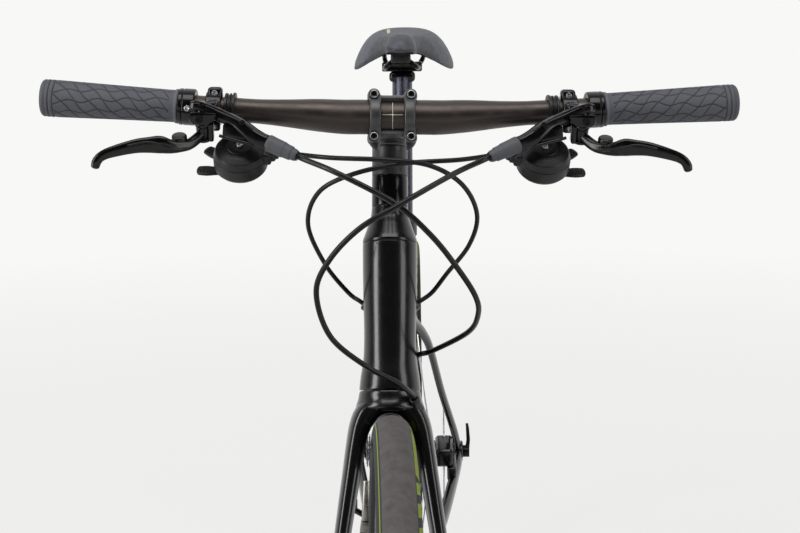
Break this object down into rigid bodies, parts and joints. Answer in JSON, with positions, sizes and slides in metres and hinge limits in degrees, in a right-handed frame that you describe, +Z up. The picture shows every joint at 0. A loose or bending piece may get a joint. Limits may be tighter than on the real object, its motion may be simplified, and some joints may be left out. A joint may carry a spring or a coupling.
{
  "type": "flat-bar road bike",
  "caption": "Flat-bar fitness road bike with disc brakes, trigger shifters, double chainset, derailleurs, slim tyres and a height-adjustable saddle.",
  "frame": {"origin": "on the ground, midway between the two wheel axles, in the frame's middle plane", "axes": "+Z up, -Y the way the bike travels, +X towards the rider's left, the side of the brake discs"},
  "size_m": [0.6429, 1.6979, 1.0094],
  "materials": {
    "frame_paint": "gloss",
    "fork_paint": "gloss",
    "cockpit_alloy": "satin",
    "control_alloy": "gloss",
    "black_plastic": "matte",
    "grip_rubber": "matte",
    "tyre_rubber": "matte",
    "steel": "brushed",
    "dark_steel": "satin",
    "hose_cover": "gloss",
    "saddle_cover": "matte"
  },
  "bodies": {
    "frame": {"frame": "frame_paint", "headset_bearing_upper": "dark_steel", "headset_bearing_lower": "dark_steel", "bottom_bracket": "dark_steel", "rear_brake_caliper": "control_alloy", "chain": "steel", "rear_derailleur_knuckle": "cockpit_alloy", "front_derailleur_bracket": "cockpit_alloy"},
    "steering": {"fork": "fork_paint", "headset_cone": "fork_paint", "headset_spacers": "cockpit_alloy", "stem": "cockpit_alloy", "stem_faceplate": "cockpit_alloy", "handlebar": "cockpit_alloy", "grip_left": "grip_rubber", "grip_right": "grip_rubber", "brake_body_left": "control_alloy", "brake_body_right": "control_alloy", "shifter_left": "black_plastic", "shifter_right": "black_plastic", "front_brake_hose": "hose_cover", "rear_brake_hose": "hose_cover", "shift_housing_left": "hose_cover", "shift_housing_right": "hose_cover", "front_brake_caliper": "control_alloy"},
    "front_axle": {"front_axle": "cockpit_alloy"},
    "rear_axle": {"rear_axle": "cockpit_alloy"},
    "brake_lever_left": {"brake_lever_left": "control_alloy"},
    "brake_lever_right": {"brake_lever_right": "control_alloy"},
    "shift_lever_left": {"shift_lever_left": "black_plastic"},
    "shift_lever_right": {"shift_lever_right": "black_plastic"},
    "release_lever_left": {"release_lever_left": "black_plastic"},
    "release_lever_right": {"release_lever_right": "black_plastic"},
    "front_wheel": {"front_tyre": "tyre_rubber", "front_rim": "cockpit_alloy", "front_hub_and_spokes": "cockpit_alloy", "front_brake_disc": "steel"},
    "rear_wheel": {"rear_tyre": "tyre_rubber", "rear_rim": "cockpit_alloy", "rear_hub_and_spokes": "cockpit_alloy", "rear_brake_disc": "steel"},
    "cassette": {"cassette": "steel"},
    "crankset": {"crank_drive": "control_alloy", "crank_left": "control_alloy", "chainring_large": "dark_steel", "chainring_small": "dark_steel"},
    "pedal_drive": {"pedal_drive": "black_plastic"},
    "pedal_left": {"pedal_left": "black_plastic"},
    "derailleur_link": {"rear_derailleur_link": "cockpit_alloy"},
    "derailleur_knuckle": {"rear_derailleur_cage_knuckle": "cockpit_alloy"},
    "derailleur_cage": {"rear_derailleur_cage": "dark_steel"},
    "guide_pulley": {"guide_pulley": "black_plastic"},
    "tension_pulley": {"tension_pulley": "black_plastic"},
    "front_derailleur": {"front_derailleur_cage": "dark_steel"},
    "seat": {"seatpost": "cockpit_alloy", "saddle_clamp": "cockpit_alloy", "saddle_rails": "steel", "saddle_shell": "black_plastic", "saddle_cushion": "saddle_cover"}
  },
  "joints": [
    {"name": "steering", "type": "hinge", "parent": "frame", "child": "steering", "pos_m": [0, -0.34598, 0.67658], "axis": [0, 0.309, 0.9511], "range_deg": [-63.5, 56.5], "deforming": ["rear_brake_hose", "shift_housing_left", "shift_housing_right"]},
    {"name": "front_wheel_spin", "type": "hinge", "parent": "steering", "child": "front_wheel", "pos_m": [0.00293, -0.50491, 0.34247], "axis": [0.9981, 0.0581, -0.0189], "continuous": true},
    {"name": "rear_wheel_spin", "type": "hinge", "parent": "frame", "child": "rear_wheel", "pos_m": [0, 0.505, 0.3425], "axis": [1, 0, 0], "continuous": true},
    {"name": "front_axle_turn", "type": "hinge", "parent": "steering", "child": "front_axle", "pos_m": [0.00293, -0.50491, 0.34247], "axis": [0.9981, 0.0581, -0.0189], "continuous": true},
    {"name": "rear_axle_turn", "type": "hinge", "parent": "frame", "child": "rear_axle", "pos_m": [0, 0.505, 0.3425], "axis": [1, 0, 0], "continuous": true},
    {"name": "crank_spin", "type": "hinge", "parent": "frame", "child": "crankset", "pos_m": [0, 0.0858, 0.2725], "axis": [1, 0, 0], "continuous": true},
    {"name": "pedal_drive_spin", "type": "hinge", "parent": "crankset", "child": "pedal_drive", "pos_m": [0, -0.0867, 0.2725], "axis": [1, 0, 0], "continuous": true},
    {"name": "pedal_left_spin", "type": "hinge", "parent": "crankset", "child": "pedal_left", "pos_m": [0, 0.2583, 0.2725], "axis": [1, 0, 0], "continuous": true},
    {"name": "cassette_spin", "type": "hinge", "parent": "frame", "child": "cassette", "pos_m": [0, 0.505, 0.3425], "axis": [1, 0, 0], "continuous": true},
    {"name": "guide_pulley_spin", "type": "hinge", "parent": "derailleur_cage", "child": "guide_pulley", "pos_m": [0, 0.5, 0.233], "axis": [1, 0, 0], "continuous": true},
    {"name": "tension_pulley_spin", "type": "hinge", "parent": "derailleur_cage", "child": "tension_pulley", "pos_m": [0, 0.48363, 0.17945], "axis": [1, 0, 0], "continuous": true},
    {"name": "brake_lever_left_pull", "type": "hinge", "parent": "steering", "child": "brake_lever_left", "pos_m": [0.17623, -0.36794, 0.92173], "axis": [0.0398, -0.3848, 0.9222], "range_deg": [0, 22], "stiffness_Nm_per_rad": 0.5, "springref_deg": -28.65},
    {"name": "brake_lever_right_pull", "type": "hinge", "parent": "steering", "child": "brake_lever_right", "pos_m": [-0.16314, -0.38768, 0.92815], "axis": [-0.0398, 0.3848, -0.9222], "range_deg": [0, 22], "stiffness_Nm_per_rad": 0.5, "springref_deg": -28.65},
    {"name": "shift_lever_left_push", "type": "hinge", "parent": "steering", "child": "shift_lever_left", "pos_m": [0.14239, -0.34878, 0.8868], "axis": [-0.05, 0.6004, -0.7982], "range_deg": [0, 35], "stiffness_Nm_per_rad": 0.2, "springref_deg": -28.65},
    {"name": "shift_lever_right_push", "type": "hinge", "parent": "steering", "child": "shift_lever_right", "pos_m": [-0.13309, -0.36481, 0.892], "axis": [0.05, -0.6004, 0.7982], "range_deg": [0, 35], "stiffness_Nm_per_rad": 0.2, "springref_deg": -28.65},
    {"name": "release_lever_left_push", "type": "hinge", "parent": "steering", "child": "release_lever_left", "pos_m": [0.1422, -0.34644, 0.88368], "axis": [-0.05, 0.6004, -0.7982], "range_deg": [0, 15], "stiffness_Nm_per_rad": 0.2, "springref_deg": -28.65},
    {"name": "release_lever_right_push", "type": "hinge", "parent": "steering", "child": "release_lever_right", "pos_m": [-0.13329, -0.36246, 0.88889], "axis": [0.05, -0.6004, 0.7982], "range_deg": [0, 15], "stiffness_Nm_per_rad": 0.2, "springref_deg": -28.65},
    {"name": "derailleur_swing", "type": "hinge", "parent": "frame", "child": "derailleur_link", "pos_m": [-0.0895, 0.517, 0.289], "axis": [0, 0.9397, -0.342], "range_deg": [-31, 31], "deforming": ["chain"]},
    {"name": "derailleur_parallel", "type": "hinge", "parent": "derailleur_link", "child": "derailleur_knuckle", "pos_m": [-0.0895, 0.50469, 0.25517], "axis": [0, 0.9397, -0.342], "range_deg": [-31, 31], "deforming": ["chain"]},
    {"name": "derailleur_cage_swing", "type": "hinge", "parent": "derailleur_knuckle", "child": "derailleur_cage", "pos_m": [0, 0.5, 0.233], "axis": [1, 0, 0], "range_deg": [-35, 40], "stiffness_Nm_per_rad": 0.6, "deforming": ["chain"]},
    {"name": "front_derailleur_shift", "type": "slide", "parent": "frame", "child": "front_derailleur", "axis": [1, 0, 0], "range_m": [-0.0015, 0.0075], "stiffness_N_per_m": 2000, "deforming": ["chain"]},
    {"name": "seat_height", "type": "slide", "parent": "frame", "child": "seat", "axis": [0, 0.284, 0.9588], "range_m": [-0.08, 0.04]}
  ],
  "couplings": [
    {"joint": "derailleur_parallel", "follows": "derailleur_swing", "ratio": -1},
    {"joint": "cassette_spin", "follows": "crank_spin", "ratio": 2.5556},
    {"joint": "guide_pulley_spin", "follows": "crank_spin", "ratio": -4.1818},
    {"joint": "tension_pulley_spin", "follows": "crank_spin", "ratio": 4.1818}
  ]
}
